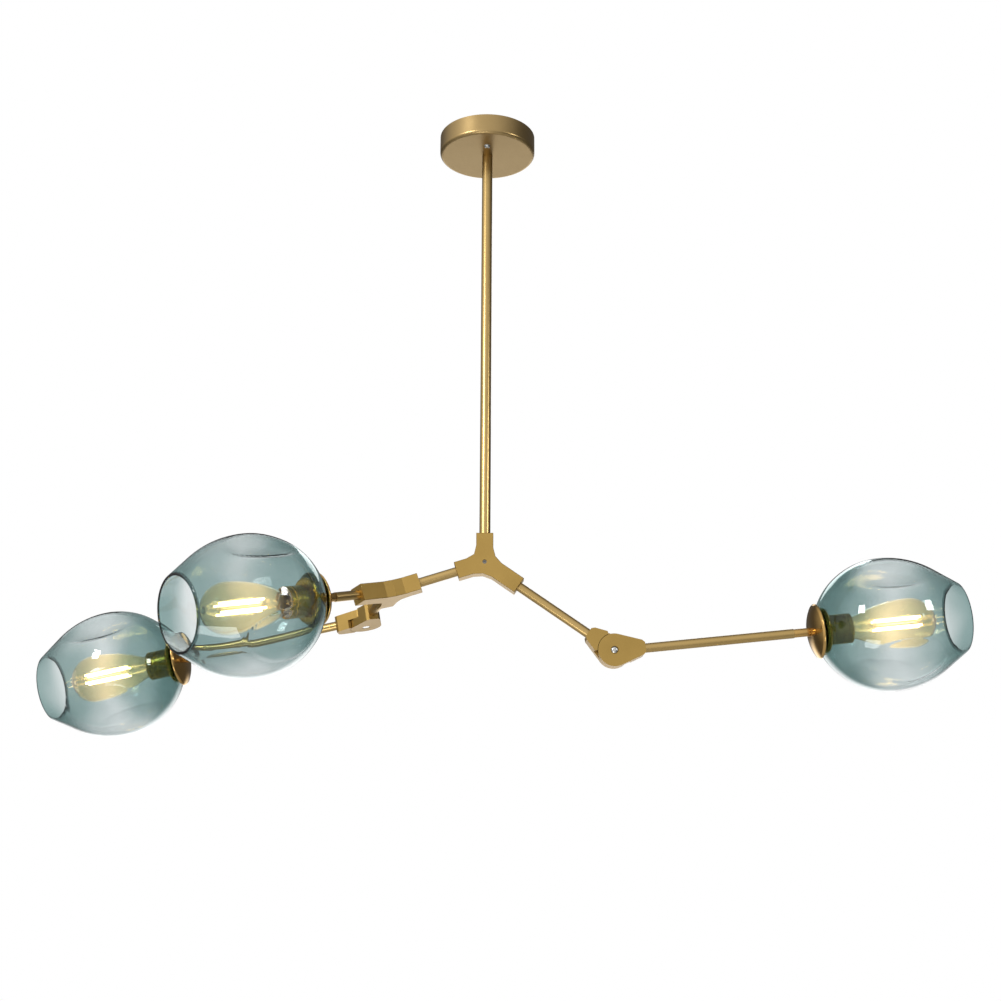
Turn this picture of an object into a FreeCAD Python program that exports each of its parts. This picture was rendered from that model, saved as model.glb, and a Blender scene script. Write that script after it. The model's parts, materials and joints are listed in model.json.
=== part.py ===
import FreeCAD, Part
import math
import os
import re
import Sketcher

# Branch chandelier with three blown-glass lamp heads on jointed gold-finished arms.
# +X to the right, +Y away from the viewer, +Z up.
# The origin is on the ceiling, on the axis of the stem.

DRIVING_SIZES = {
    # canopy and what it hides
    "canopy_diameter": 120.0,
    "canopy_height": 25.0,
    "canopy_wall": 1.5,
    "canopy_edge_radius": 4.0,
    "bracket_length": 104.0,
    "bracket_width": 20.0,
    "bracket_thickness": 3.0,
    "ceiling_slot_spacing": 82.0,
    "ceiling_slot_length": 14.0,
    "ceiling_slot_width": 5.0,
    "canopy_screw_spacing": 54.0,
    "canopy_screw_radius": 2.0,
    "canopy_screw_head_radius": 4.0,
    "canopy_screw_head_height": 2.6,
    "stem_nipple_radius": 5.0,
    "stem_nipple_bore": 3.75,
    "canopy_hole_clearance": 0.4,
    "stem_nipple_engagement": 18.0,
    "locknut_flats": 14.0,
    "locknut_height": 4.0,
    "terminal_length": 20.0,
    "terminal_width": 11.0,
    "terminal_height": 12.0,
    "terminal_offset": 10.0,
    "terminal_pitch": 6.4,
    "terminal_hole_radius": 1.8,
    # stem and tubes
    "stem_radius": 6.5,
    "stem_drop": 528.0,
    "stem_wall": 1.0,
    "tube_radius": 5.5,
    "tube_bore": 4.05,
    "socket_depth": 20.0,
    # cast three-way hubs
    "hub_thickness": 20.0,
    "hub_leg_width": 20.0,
    "hub_short_leg": 34.5,
    "hub_long_leg": 49.0,
    "hub_web": 3.0,
    "hub_flare": 12.0,
    "hub_edge_break": 0.5,
    "wire_way_radius": 3.5,
    "hub_screw_radius": 2.5,
    "hub_screw_recess": 2.0,
    "hub_screw_length": 4.5,
    "hub_screw_key": 2.5,
    "hub_screw_key_depth": 2.0,
    # lap knuckles
    "knuckle_radius": 19.0,
    "knuckle_thickness": 20.0,
    "knuckle_reach": 36.0,
    "knuckle_neck_width": 17.2,
    "knuckle_neck_chamfer": 3.0,
    "knuckle_shoulder_angle": 36.0,
    "knuckle_grip": 12.0,
    "pivot_radius": 2.5,
    "pivot_head_radius": 4.0,
    "pivot_head_height": 3.2,
    "pivot_recess": 2.4,
    "pivot_nut_flats": 8.0,
    "pivot_nut_height": 4.0,
    # arms
    "right_arm_dip": 34.5,
    "right_arm_span": 182.0,
    "right_outer_rise": 6.0,
    "right_outer_turn": 1.7,
    "left_arm_dip": 17.3,
    "left_arm_span": 114.0,
    "side_hub_roll": 2.0,
    "front_leg_angle": 139.0,
    "rear_leg_angle": 112.5,
    "rear_arm_span": 116.0,
    "rear_outer_rise": -11.5,
    "rear_outer_turn": 6.4,
    "right_lamp_reach": 241.0,
    "front_lamp_reach": 111.0,
    "rear_lamp_reach": 241.0,
    # lamp heads
    "ferrule_radius": 5.0,
    "ferrule_length": 19.0,
    "lamp_nipple_radius": 4.0,
    "lamp_nipple_bore": 3.0,
    "lamp_nipple_grip": 12.0,
    "cap_radius": 32.0,
    "cap_height": 10.5,
    "cap_edge": 2.6,
    "cap_dome_radius": 48.0,
    "gasket_radius": 23.0,
    "gasket_thickness": 1.0,
    "shade_radius": 78.0,
    "shade_back_radius": 86.0,
    "shade_front_radius": 106.0,
    "shade_taper": 33.0,
    "shade_mouth_radius": 41.5,
    "shade_seat_radius": 24.0,
    "shade_hole_radius": 20.5,
    "shade_wall": 2.5,
    "dimple_depth": 10.0,
    "dimple_radius": 110.0,
    "ring_radius": 26.0,
    "ring_height": 7.0,
    "socket_radius": 17.5,
    "socket_height": 38.0,
    "socket_wall": 1.2,
    "socket_floor": 2.0,
    "insert_floor": 8.0,
    "insert_setback": 3.0,
    # bulbs
    "bulb_cap_radius": 13.1,
    "bulb_cap_height": 27.0,
    "bulb_cap_wall": 0.6,
    "bulb_contact_radius": 4.5,
    "bulb_contact_height": 6.0,
    "bulb_radius": 28.5,
    "bulb_neck_radius": 14.5,
    "bulb_side_radius": 150.0,
    "bulb_belly_height": 100.0,
    "bulb_wall": 0.8,
    "bulb_tip_radius": 3.0,
    "filament_count": 4.0,
    "filament_radius": 1.3,
    "filament_length": 56.0,
    "filament_circle": 7.0,
    "stalk_radius": 2.6,
    "mast_radius": 0.9,
    "hook_radius": 0.5,
    # fits
    "running_clearance": 0.05,
    "lap_gap": 0.3,
    "shoulder_gap": 0.6,
    "end_gap": 0.5,
    "screw_clearance": 0.2,
    "pivot_head_clearance": 0.5,
    "thread_clearance": 0.01,
}

document = FreeCAD.newDocument("branch_chandelier")
sheet = document.addObject("Spreadsheet::Sheet", "sizes")
for row, (alias, value) in enumerate(DRIVING_SIZES.items(), start=1):
    sheet.set("A%d" % row, alias)
    sheet.set("B%d" % row, str(value))
    sheet.setAlias("B%d" % row, alias)
document.recompute()

finished_pieces = {}
FULL_TURN = 360.0
X = FreeCAD.Vector(1, 0, 0)
Y = FreeCAD.Vector(0, 1, 0)
Z = FreeCAD.Vector(0, 0, 1)


def linked(formula):
    """The same formula with every size name pointing at the sheet."""
    return re.sub(r"[a-z]+(?:_[a-z]+)+", r"sizes.\g<0>", formula)


def value_of(formula):
    """The number that a formula of named sizes gives."""
    result = sheet.evalExpression(formula)
    return float(getattr(result, "Value", result))


def bind(target, prop, formula):
    """Ties one property to the sheet."""
    target.setExpression(prop, linked(formula))


# ---------------------------------------------------------------- sketching

def new_body(label, placement):
    body = document.addObject("PartDesign::Body", label)
    body.Label = label
    body.Placement = placement
    finished_pieces[label] = body
    return body


def new_sketch(body, name, role="XZ_Plane", offset="0"):
    """A sketch on one of the body's own planes, moved along that plane's normal."""
    sketch = body.newObject("Sketcher::SketchObject", name)
    plane = [item for item in body.Origin.OriginFeatures if item.Role == role][0]
    sketch.AttachmentSupport = [(plane, "")]
    sketch.MapMode = "FlatFace"
    bind(sketch, "AttachmentOffset.Base.z", offset)
    return sketch


def draw_outline(sketch, corners):
    """Draws a closed outline and ties every corner and radius to the sheet.

    A corner is (across, along). An edge that arrives at its corner as an arc adds the
    arc's radius and the side of its centre: +1 left of the way drawn, -1 right of it.
    """
    points = [FreeCAD.Vector(value_of(corner[0]), value_of(corner[1]), 0) for corner in corners]
    ends = []
    for index, corner in enumerate(corners):
        start, end = points[index - 1], points[index]
        if len(corner) == 2:
            sketch.addGeometry(Part.LineSegment(start, end))
            ends.append((1, 2))
            continue
        radius, side = value_of(corner[2]), corner[3]
        chord = end - start
        left = FreeCAD.Vector(-chord.y, chord.x, 0).normalize() * side
        centre_depth = math.sqrt(max(radius ** 2 - (chord.Length / 2) ** 2, 0))
        middle = (start + end) / 2 - left * (radius - centre_depth)
        sketch.addGeometry(Part.Arc(start, middle, end))
        ends.append((1, 2) if side > 0 else (2, 1))
    for index, corner in enumerate(corners):
        following = (index + 1) % len(corners)
        end_point = ends[index][1]
        sketch.addConstraint(
            Sketcher.Constraint("Coincident", index, end_point, following, ends[following][0]))
        for kind, number, formula in (("DistanceX", points[index].x, corner[0]),
                                      ("DistanceY", points[index].y, corner[1])):
            tie = sketch.addConstraint(
                Sketcher.Constraint(kind, -1, 1, index, end_point, number))
            bind(sketch, "Constraints[%d]" % tie, formula)
        if len(corner) == 4:
            tie = sketch.addConstraint(Sketcher.Constraint("Radius", index, value_of(corner[2])))
            bind(sketch, "Constraints[%d]" % tie, corner[2])


def draw_circles(sketch, circles):
    """Circles given as (across, along, radius), tied to the sheet."""
    for index, (across, along, radius) in enumerate(circles):
        centre = FreeCAD.Vector(value_of(across), value_of(along), 0)
        sketch.addGeometry(Part.Circle(centre, Z, value_of(radius)))
        tie = sketch.addConstraint(Sketcher.Constraint("Radius", index, value_of(radius)))
        bind(sketch, "Constraints[%d]" % tie, radius)
        tie = sketch.addConstraint(Sketcher.Constraint("DistanceX", -1, 1, index, 3, centre.x))
        bind(sketch, "Constraints[%d]" % tie, across)
        tie = sketch.addConstraint(Sketcher.Constraint("DistanceY", -1, 1, index, 3, centre.y))
        bind(sketch, "Constraints[%d]" % tie, along)


def slot(half_width, half_run, middle="0"):
    """Corners of a strip along the second axis with round ends, each end two quarter arcs."""
    low, high = "%s - (%s)" % (middle, half_run), "%s + %s" % (middle, half_run)
    minus = "-(%s)" % half_width
    return [
        (half_width, high),
        ("0", "%s + %s" % (high, half_width), half_width, 1),
        (minus, high, half_width, 1),
        (minus, low),
        ("0", "%s - (%s)" % (low, half_width), half_width, 1),
        (half_width, low, half_width, 1),
    ]


def hexagon(flats):
    """Corners of a hexagon of the given width across flats."""
    return [("(%s) / sqrt(3) * cos(%d)" % (flats, angle), "(%s) / sqrt(3) * sin(%d)" % (flats, angle))
            for angle in range(0, 360, 60)]


# ---------------------------------------------------------------- features

def revolve(body, corners):
    """A turned solid: the outline is (radius, height) and turns about the body's Z axis."""
    sketch = new_sketch(body, body.Label + "_profile")
    draw_outline(sketch, corners)
    turned = body.newObject("PartDesign::Revolution", body.Label + "_turned")
    turned.Profile = sketch
    turned.ReferenceAxis = (sketch, ["V_Axis"])
    turned.Angle = FULL_TURN


def turned_piece(label, placement, corners):
    body = new_body(label, placement)
    revolve(body, corners)
    return body


def pad(body, sketch, length, both_ways=False):
    feature = body.newObject("PartDesign::Pad", sketch.Name + "_pad")
    feature.Profile = sketch
    feature.SideType = "Symmetric" if both_ways else "One side"
    bind(feature, "Length", length)


def pocket(body, sketch, depth, both_ways=False):
    """Cuts away from the sketch plane, against that plane's normal."""
    feature = body.newObject("PartDesign::Pocket", sketch.Name + "_pocket")
    feature.Profile = sketch
    feature.SideType = "Symmetric" if both_ways else "One side"
    bind(feature, "Length", depth)


def holes(body, name, circles, depth, role="XZ_Plane", offset="0", both_ways=False):
    sketch = new_sketch(body, body.Label + "_" + name, role, offset)
    draw_circles(sketch, circles)
    pocket(body, sketch, depth, both_ways)


def bore_along(body, name, angle, start, depth, radius):
    """A round bore in the plane of a hub, along a direction given by its angle from X."""
    direction = FreeCAD.Vector(math.cos(math.radians(angle)), 0, math.sin(math.radians(angle)))
    bore = body.newObject("PartDesign::SubtractiveCylinder", body.Label + "_" + name)
    bore.Placement = FreeCAD.Placement(direction * value_of(start), FreeCAD.Rotation(Z, direction))
    bind(bore, "Radius", radius)
    bind(bore, "Height", depth)


def placed(origin, along, normal):
    """A placement whose Z axis runs along one direction and whose Y axis is the normal."""
    rotation = FreeCAD.Rotation(normal.cross(along), normal, along, "ZYX")
    return FreeCAD.Placement(origin, rotation)


def moved(placement, distance):
    """The same placement moved along its own Z axis."""
    return placement.multiply(FreeCAD.Placement(Z * distance, FreeCAD.Rotation()))


# ---------------------------------------------------------------- canopy

def build_canopy():
    """Spun cup with a rounded lower edge, open towards the ceiling."""
    base = FreeCAD.Placement(Z * -value_of("canopy_height"), FreeCAD.Rotation())
    outer = "canopy_diameter / 2"
    hole = "stem_nipple_radius + canopy_hole_clearance"
    body = turned_piece("canopy", base, [
        (hole, "0"),
        (outer + " - canopy_edge_radius", "0"),
        (outer, "canopy_edge_radius", "canopy_edge_radius", 1),
        (outer, "canopy_height"),
        (outer + " - canopy_wall", "canopy_height"),
        (outer + " - canopy_wall", "canopy_edge_radius"),
        (outer + " - canopy_edge_radius", "canopy_wall", "canopy_edge_radius - canopy_wall", -1),
        (hole, "canopy_wall"),
    ])
    screw_hole = "canopy_screw_radius + screw_clearance"
    half_spacing = "canopy_screw_spacing / 2"
    holes(body, "screw_holes",
          [("0", half_spacing, screw_hole), ("0", "-" + half_spacing, screw_hole)],
          "canopy_wall * 4", "XY_Plane", both_ways=True)


def build_ceiling_bracket():
    """Flat crossbar: centre hole, two tapped holes, two slots for the ceiling box."""
    top = FreeCAD.Placement(Z * -value_of("bracket_thickness"), FreeCAD.Rotation())
    body = new_body("ceiling_bracket", top)
    sketch = new_sketch(body, "bracket_outline", "XY_Plane")
    draw_outline(sketch, slot("bracket_width / 2", "(bracket_length - bracket_width) / 2"))
    pad(body, sketch, "bracket_thickness")
    tapped = "canopy_screw_radius + running_clearance"
    holes(body, "round_holes",
          [("0", "0", "stem_nipple_radius + running_clearance"),
           ("0", "canopy_screw_spacing / 2", tapped),
           ("0", "-canopy_screw_spacing / 2", tapped)],
          "bracket_thickness * 4", "XY_Plane", both_ways=True)
    half_run = "(ceiling_slot_length - ceiling_slot_width) / 2"
    for name, sign in (("rear", ""), ("front", "-")):
        opening = new_sketch(body, "bracket_slot_" + name, "XY_Plane")
        draw_outline(opening, slot("ceiling_slot_width / 2", half_run,
                                   sign + "ceiling_slot_spacing / 2"))
        pocket(body, opening, "bracket_thickness * 4", both_ways=True)


def build_canopy_screws():
    """Two domed screws that come up through the canopy into the crossbar."""
    shank_top = "canopy_height - end_gap"
    profile = document.addObject("Sketcher::SketchObject", "canopy_screw_profile")
    profile.Placement = FreeCAD.Placement(FreeCAD.Vector(), FreeCAD.Rotation(X, 90))
    draw_outline(profile, [
        ("0", "-canopy_screw_head_height"),
        ("canopy_screw_head_radius", "0",
         "(canopy_screw_head_radius^2 + canopy_screw_head_height^2) / (2 * canopy_screw_head_height)", 1),
        ("canopy_screw_radius", "0"),
        ("canopy_screw_radius", shank_top),
        ("0", shank_top),
    ])
    screws = []
    for side in (1, -1):
        screw = document.addObject("Part::Revolution", "canopy_screw")
        screw.Source = profile
        screw.Axis = Z
        screw.Angle = FULL_TURN
        screw.Solid = True
        screw.Placement.Base = FreeCAD.Vector(
            0, side * value_of("canopy_screw_spacing / 2"), -value_of("canopy_height"))
        screws.append(screw)
    pair = document.addObject("Part::Compound", "canopy_screws")
    pair.Links = screws
    finished_pieces["canopy_screws"] = pair


def build_stem_hardware():
    """Threaded nipple through canopy and crossbar, its locknut and the wire terminals."""
    bottom = FreeCAD.Placement(
        Z * -value_of("canopy_height + stem_nipple_engagement"), FreeCAD.Rotation())
    length = "canopy_height + stem_nipple_engagement - end_gap"
    turned_piece("stem_nipple", bottom, [
        ("stem_nipple_bore", "0"), ("stem_nipple_radius", "0"),
        ("stem_nipple_radius", length), ("stem_nipple_bore", length),
    ])
    under_bracket = -value_of("bracket_thickness")
    nut = new_body("stem_locknut", FreeCAD.Placement(
        Z * (under_bracket - value_of("locknut_height")), FreeCAD.Rotation()))
    outline = new_sketch(nut, "locknut_outline", "XY_Plane")
    draw_outline(outline, hexagon("locknut_flats"))
    pad(nut, outline, "locknut_height")
    holes(nut, "thread", [("0", "0", "stem_nipple_radius + running_clearance")],
          "locknut_height * 4", "XY_Plane", both_ways=True)
    block = new_body("terminal_block", FreeCAD.Placement(
        FreeCAD.Vector(0, value_of("terminal_offset"),
                       under_bracket - value_of("terminal_height")), FreeCAD.Rotation()))
    outline = new_sketch(block, "terminal_outline", "XY_Plane")
    draw_outline(outline, [
        ("terminal_length / 2", "0"), ("terminal_length / 2", "terminal_width"),
        ("-terminal_length / 2", "terminal_width"), ("-terminal_length / 2", "0"),
    ])
    pad(block, outline, "terminal_height")
    holes(block, "wire_holes",
          [(across, "terminal_height / 2", "terminal_hole_radius")
           for across in ("-terminal_pitch", "0", "terminal_pitch")],
          "terminal_width * 4", both_ways=True)


# ---------------------------------------------------------------- tubes and hubs

def build_stem():
    """Long tube; its top end is tapped for the nipple, its foot sits in the hub."""
    foot = "hub_short_leg - socket_depth + end_gap"
    hub_height = -value_of("canopy_height + stem_drop")
    bottom = FreeCAD.Placement(Z * (hub_height + value_of(foot)), FreeCAD.Rotation())
    top = "stem_drop - (%s)" % foot
    tapped = "stem_nipple_radius + running_clearance"
    tapped_end = top + " - stem_nipple_engagement - end_gap"
    turned_piece("stem", bottom, [
        ("stem_radius - stem_wall", "0"), ("stem_radius", "0"),
        ("stem_radius", top), (tapped, top),
        (tapped, tapped_end), ("stem_radius - stem_wall", tapped_end),
    ])


def build_tube(label, placement, start, end):
    """Straight arm tube between two distances along its placement's Z axis."""
    length = "(%s) - (%s)" % (end, start)
    turned_piece(label, moved(placement, value_of(start)), [
        ("tube_bore", "0"), ("tube_radius", "0"),
        ("tube_radius", length), ("tube_bore", length),
    ])


def hub_outline(legs):
    """Corners of a flat three-way hub, leg after leg anticlockwise, flared at each crotch."""
    corners = []
    for index, (angle, length, _) in enumerate(legs):
        following = legs[(index + 1) % len(legs)][0]
        turn = "(%s)" % following if index < len(legs) - 1 else "(%s + 360)" % following
        half, middle = "(%s - (%s)) / 2" % (turn, angle), "(%s + (%s)) / 2" % (turn, angle)
        flare = "(hub_leg_width / 2 / tan(%s) + hub_flare)" % half
        crotch = "(hub_leg_width / 2 / sin(%s) + hub_web)" % half
        ahead = ("cos(%s)" % angle, "sin(%s)" % angle)
        left = ("(-sin(%s))" % angle, "cos(%s)" % angle)
        back = ("cos(%s)" % turn, "sin(%s)" % turn)
        back_left = ("(-sin(%s))" % turn, "cos(%s)" % turn)
        corners += [tuple("%s * %s - hub_leg_width / 2 * %s" % (length, ahead[i], left[i])
                          for i in (0, 1)),
                    tuple("%s * %s + hub_leg_width / 2 * %s" % (length, ahead[i], left[i])
                          for i in (0, 1)),
                    tuple("%s * %s + hub_leg_width / 2 * %s" % (flare, ahead[i], left[i])
                          for i in (0, 1)),
                    ("%s * cos(%s)" % (crotch, middle), "%s * sin(%s)" % (crotch, middle)),
                    tuple("%s * %s - hub_leg_width / 2 * %s" % (flare, back[i], back_left[i])
                          for i in (0, 1))]
    return corners


def build_hub(label, placement, legs):
    """Cast block with a blind socket in each leg, wire ways that meet, and a set screw."""
    body = new_body(label, placement)
    sketch = new_sketch(body, label + "_outline")
    draw_outline(sketch, hub_outline(legs))
    pad(body, sketch, "hub_thickness", both_ways=True)
    document.recompute()
    block = body.Tip
    flat_faces = ["Face%d" % (index + 1) for index, face in enumerate(block.Shape.Faces)
                  if abs(face.normalAt(0, 0).y) > 0.9]
    edge_break = body.newObject("PartDesign::Chamfer", label + "_edge_break")
    edge_break.Base = (block, flat_faces)
    bind(edge_break, "Size", "hub_edge_break")
    body.Tip = edge_break
    for index, (angle, length, bore) in enumerate(legs):
        bore_along(body, "socket_%d" % index, value_of(angle),
                   length + " - socket_depth", "socket_depth + end_gap", bore)
        bore_along(body, "wire_way_%d" % index, value_of(angle), "0", length, "wire_way_radius")
    holes(body, "screw_seat", [("0", "0", "hub_screw_radius + running_clearance")],
          "hub_screw_recess + hub_screw_length", offset="hub_thickness / 2")
    top_of_screw = placement.multiply(FreeCAD.Placement(
        Y * -value_of("hub_thickness / 2 - hub_screw_recess - hub_screw_length"),
        FreeCAD.Rotation(X, 90)))
    screw = turned_piece(label + "_screw", top_of_screw, [
        ("0", "0"), ("hub_screw_radius", "0"),
        ("hub_screw_radius", "hub_screw_length"), ("0", "hub_screw_length"),
    ])
    key = new_sketch(screw, label + "_screw_key", "XY_Plane", "hub_screw_length")
    draw_outline(key, hexagon("hub_screw_key"))
    pocket(screw, key, "hub_screw_key_depth")


# ---------------------------------------------------------------- knuckles

def build_knuckle_half(label, placement, opening, opening_depth):
    """One half of a lap knuckle: a drop-shaped cheek on -Y that widens to a full neck.

    The neck runs along +Z, the pivot along Y. The other half's cheek turns in the
    space cut from the +Y side.
    """
    body = new_body(label, placement)
    half_neck, chamfer = "knuckle_neck_width / 2", "knuckle_neck_chamfer"
    neck_side = "knuckle_reach - %s" % chamfer
    touch = "(atan(%s / (%s)) + acos(knuckle_radius / sqrt((%s)^2 + (%s)^2)))" % (
        half_neck, neck_side, half_neck, neck_side)
    across, along = "knuckle_radius * sin(%s)" % touch, "knuckle_radius * cos(%s)" % touch
    sketch = new_sketch(body, label + "_drop")
    draw_outline(sketch, [
        ("-knuckle_radius", "0", "knuckle_radius", 1),
        ("0", "-knuckle_radius", "knuckle_radius", 1),
        (across, along, "knuckle_radius", 1),
        (half_neck, neck_side),
        (half_neck + " - " + chamfer, "knuckle_reach"),
        (chamfer + " - " + half_neck, "knuckle_reach"),
        ("-" + half_neck, neck_side),
        ("-" + across, along),
    ])
    pad(body, sketch, "knuckle_thickness", both_ways=True)
    lap_depth = "knuckle_thickness / 2 + lap_gap"
    holes(body, "lap", [("0", "0", "knuckle_radius + shoulder_gap")],
          lap_depth, offset="lap_gap / 2")
    reach = "(knuckle_radius * 2)"
    wing = new_sketch(body, label + "_shoulders", offset="lap_gap / 2")
    draw_outline(wing, [
        ("0", "0"), (reach + " * tan(knuckle_shoulder_angle)", reach), (reach, reach),
        (reach, "-" + reach), ("-" + reach, "-" + reach), ("-" + reach, reach),
        ("-%s * tan(knuckle_shoulder_angle)" % reach, reach),
    ])
    pocket(body, wing, lap_depth)
    holes(body, "tube_socket", [("0", "0", "tube_radius + running_clearance")],
          "knuckle_grip", "XY_Plane", "knuckle_reach")
    holes(body, "pivot_hole", [("0", "0", "pivot_radius + running_clearance")],
          "knuckle_thickness * 2", both_ways=True)
    holes(body, "pivot_recess", [("0", "0", opening)],
          opening_depth, offset="knuckle_thickness / 2")


def build_knuckle(side, pivot, back, ahead, axis):
    """Both halves, pivot screw and nut; 'back' and 'ahead' run from the pivot to the tubes."""
    nut_room = "pivot_nut_flats / sqrt(3) + screw_clearance"
    head_room = "pivot_head_radius + pivot_head_clearance"
    build_knuckle_half(side + "_knuckle_base", placed(pivot, back, -axis),
                       nut_room, "pivot_nut_height + screw_clearance")
    build_knuckle_half(side + "_knuckle_arm", placed(pivot, ahead, axis), head_room, "pivot_recess")
    screw_place = FreeCAD.Placement(pivot, FreeCAD.Rotation(Z, -axis))
    foot = "screw_clearance - knuckle_thickness / 2"
    seat = "knuckle_thickness / 2 - pivot_recess + running_clearance"
    crown = "(pivot_head_radius^2 + (pivot_head_height / 2)^2) / pivot_head_height"
    turned_piece(side + "_pivot_screw", screw_place, [
        ("0", foot), ("pivot_radius", foot), ("pivot_radius", seat), ("pivot_head_radius", seat),
        ("pivot_head_radius", seat + " + pivot_head_height / 2"),
        ("0", seat + " + pivot_head_height", crown, 1),
    ])
    nut = new_body(side + "_pivot_nut", moved(screw_place, value_of(foot)))
    outline = new_sketch(nut, side + "_pivot_nut_outline", "XY_Plane")
    draw_outline(outline, hexagon("pivot_nut_flats"))
    pad(nut, outline, "pivot_nut_height")
    holes(nut, "thread", [("0", "0", "pivot_radius + thread_clearance")],
          "pivot_nut_height * 4", "XY_Plane", both_ways=True)


# ---------------------------------------------------------------- lamp heads

def shade_corners(inset, mouth_overrun):
    """Outline of the blown bowl, or of its hollow when it is inset by the wall."""
    belly = "(shade_radius - %s)" % inset
    back, front = "(shade_back_radius - %s)" % inset, "(shade_front_radius - %s)" % inset
    belly_height = ("sqrt(shade_back_radius^2"
                    " - (shade_back_radius - shade_radius + shade_seat_radius)^2)")
    seat_radius = "(%s - %s + sqrt(%s^2 - (%s - %s)^2))" % (belly, back, back, belly_height, inset)
    shoulder = "(%s - %s * (1 - cos(shade_taper)))" % (belly, front)
    shoulder_height = "(%s + %s * sin(shade_taper))" % (belly_height, front)
    outer_shoulder = "(shade_radius - shade_front_radius * (1 - cos(shade_taper)))"
    mouth_height = ("(%s + shade_front_radius * sin(shade_taper)"
                    " + (%s - shade_mouth_radius) / tan(shade_taper) + %s)"
                    % (belly_height, outer_shoulder, mouth_overrun))
    mouth = "(%s - (%s - %s) * tan(shade_taper))" % (shoulder, mouth_height, shoulder_height)
    return [
        ("0", inset), (seat_radius, inset),
        (belly, belly_height, back, 1),
        (shoulder, shoulder_height, front, 1),
        (mouth, mouth_height),
        ("0", mouth_height),
    ]


def build_bowl(name, corners, dimple_radius):
    """A turned solid with four long flats pressed in by round bars parallel to its axis."""
    profile = document.addObject("Sketcher::SketchObject", name + "_profile")
    profile.Placement = FreeCAD.Placement(FreeCAD.Vector(), FreeCAD.Rotation(X, 90))
    draw_outline(profile, corners)
    solid = document.addObject("Part::Revolution", name + "_turned")
    solid.Source = profile
    solid.Axis = Z
    solid.Angle = FULL_TURN
    solid.Solid = True
    bars = []
    bar_distance = value_of("shade_radius - dimple_depth + dimple_radius")
    for quarter in range(4):
        bar = document.addObject("Part::Cylinder", name + "_bar")
        bind(bar, "Radius", dimple_radius)
        bind(bar, "Height", "shade_radius * 4")
        spot = FreeCAD.Rotation(Z, 45 + 90 * quarter).multVec(X) * bar_distance
        bar.Placement.Base = spot - Z * value_of("shade_radius")
        bars.append(bar)
    dimples = document.addObject("Part::Compound", name + "_bars")
    dimples.Links = bars
    bowl = document.addObject("Part::Cut", name)
    bowl.Base = solid
    bowl.Tool = dimples
    return bowl


def build_shade(side, placement):
    outside = build_bowl(side + "_shade_outside", shade_corners("0", "0"), "dimple_radius")
    inside = build_bowl(side + "_shade_inside", shade_corners("shade_wall", "shade_wall"),
                        "dimple_radius + shade_wall")
    opening = document.addObject("Part::Cylinder", side + "_shade_opening")
    bind(opening, "Radius", "shade_hole_radius")
    bind(opening, "Height", "shade_wall * 4")
    opening.Placement.Base = Z * -value_of("shade_wall * 2")
    hollow = document.addObject("Part::Fuse", side + "_shade_hollow")
    hollow.Base = inside
    hollow.Tool = opening
    shade = document.addObject("Part::Cut", side + "_shade")
    shade.Base = outside
    shade.Tool = hollow
    shade.Placement = moved(placement, value_of("gasket_thickness"))
    finished_pieces[side + "_shade"] = shade


def build_lamp_fittings(side, placement):
    """Ferrule, nipple, cap, gasket, ring, shell and insert; z = 0 is the cap's flat face."""
    bore = "lamp_nipple_radius + running_clearance"
    turned_piece(side + "_ferrule", placement, [
        (bore, "-cap_height - ferrule_length"), ("ferrule_radius", "-cap_height - ferrule_length"),
        ("ferrule_radius", "-cap_height"), (bore, "-cap_height"),
    ])
    nipple_foot = "-cap_height - ferrule_length - lamp_nipple_grip"
    turned_piece(side + "_lamp_nipple", placement, [
        ("lamp_nipple_bore", nipple_foot), ("lamp_nipple_radius", nipple_foot),
        ("lamp_nipple_radius", "socket_floor + socket_wall"),
        ("lamp_nipple_bore", "socket_floor + socket_wall"),
    ])
    turned_piece(side + "_cap", placement, [
        (bore, "0"), (bore, "-cap_height"), ("ferrule_radius", "-cap_height"),
        ("cap_radius", "-cap_edge", "cap_dome_radius", 1),
        ("cap_radius", "0"),
    ])
    shell_fit = "socket_radius + running_clearance"
    turned_piece(side + "_shade_gasket", placement, [
        (shell_fit, "0"), ("gasket_radius", "0"),
        ("gasket_radius", "gasket_thickness"), (shell_fit, "gasket_thickness"),
    ])
    ring_foot = "gasket_thickness + shade_wall"
    rounding = "ring_height / 2"
    turned_piece(side + "_shade_ring", placement, [
        (shell_fit, ring_foot), ("ring_radius - " + rounding, ring_foot),
        ("ring_radius", ring_foot + " + " + rounding, rounding, 1),
        ("ring_radius - " + rounding, ring_foot + " + ring_height", rounding, 1),
        (shell_fit, ring_foot + " + ring_height"),
    ])
    turned_piece(side + "_socket_shell", placement, [
        (bore, "0"), ("socket_radius", "0"), ("socket_radius", "socket_height"),
        ("socket_radius - socket_wall", "socket_height"),
        ("socket_radius - socket_wall", "socket_floor"), (bore, "socket_floor"),
    ])
    insert_side = "socket_radius - socket_wall - running_clearance"
    insert_top = "socket_height - insert_setback"
    bulb_bore = "bulb_cap_radius + running_clearance"
    turned_piece(side + "_socket_insert", placement, [
        (bore, "socket_floor"), (insert_side, "socket_floor"), (insert_side, insert_top),
        (bulb_bore, insert_top), (bulb_bore, "socket_floor + insert_floor"),
        (bore, "socket_floor + insert_floor"),
    ])


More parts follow.
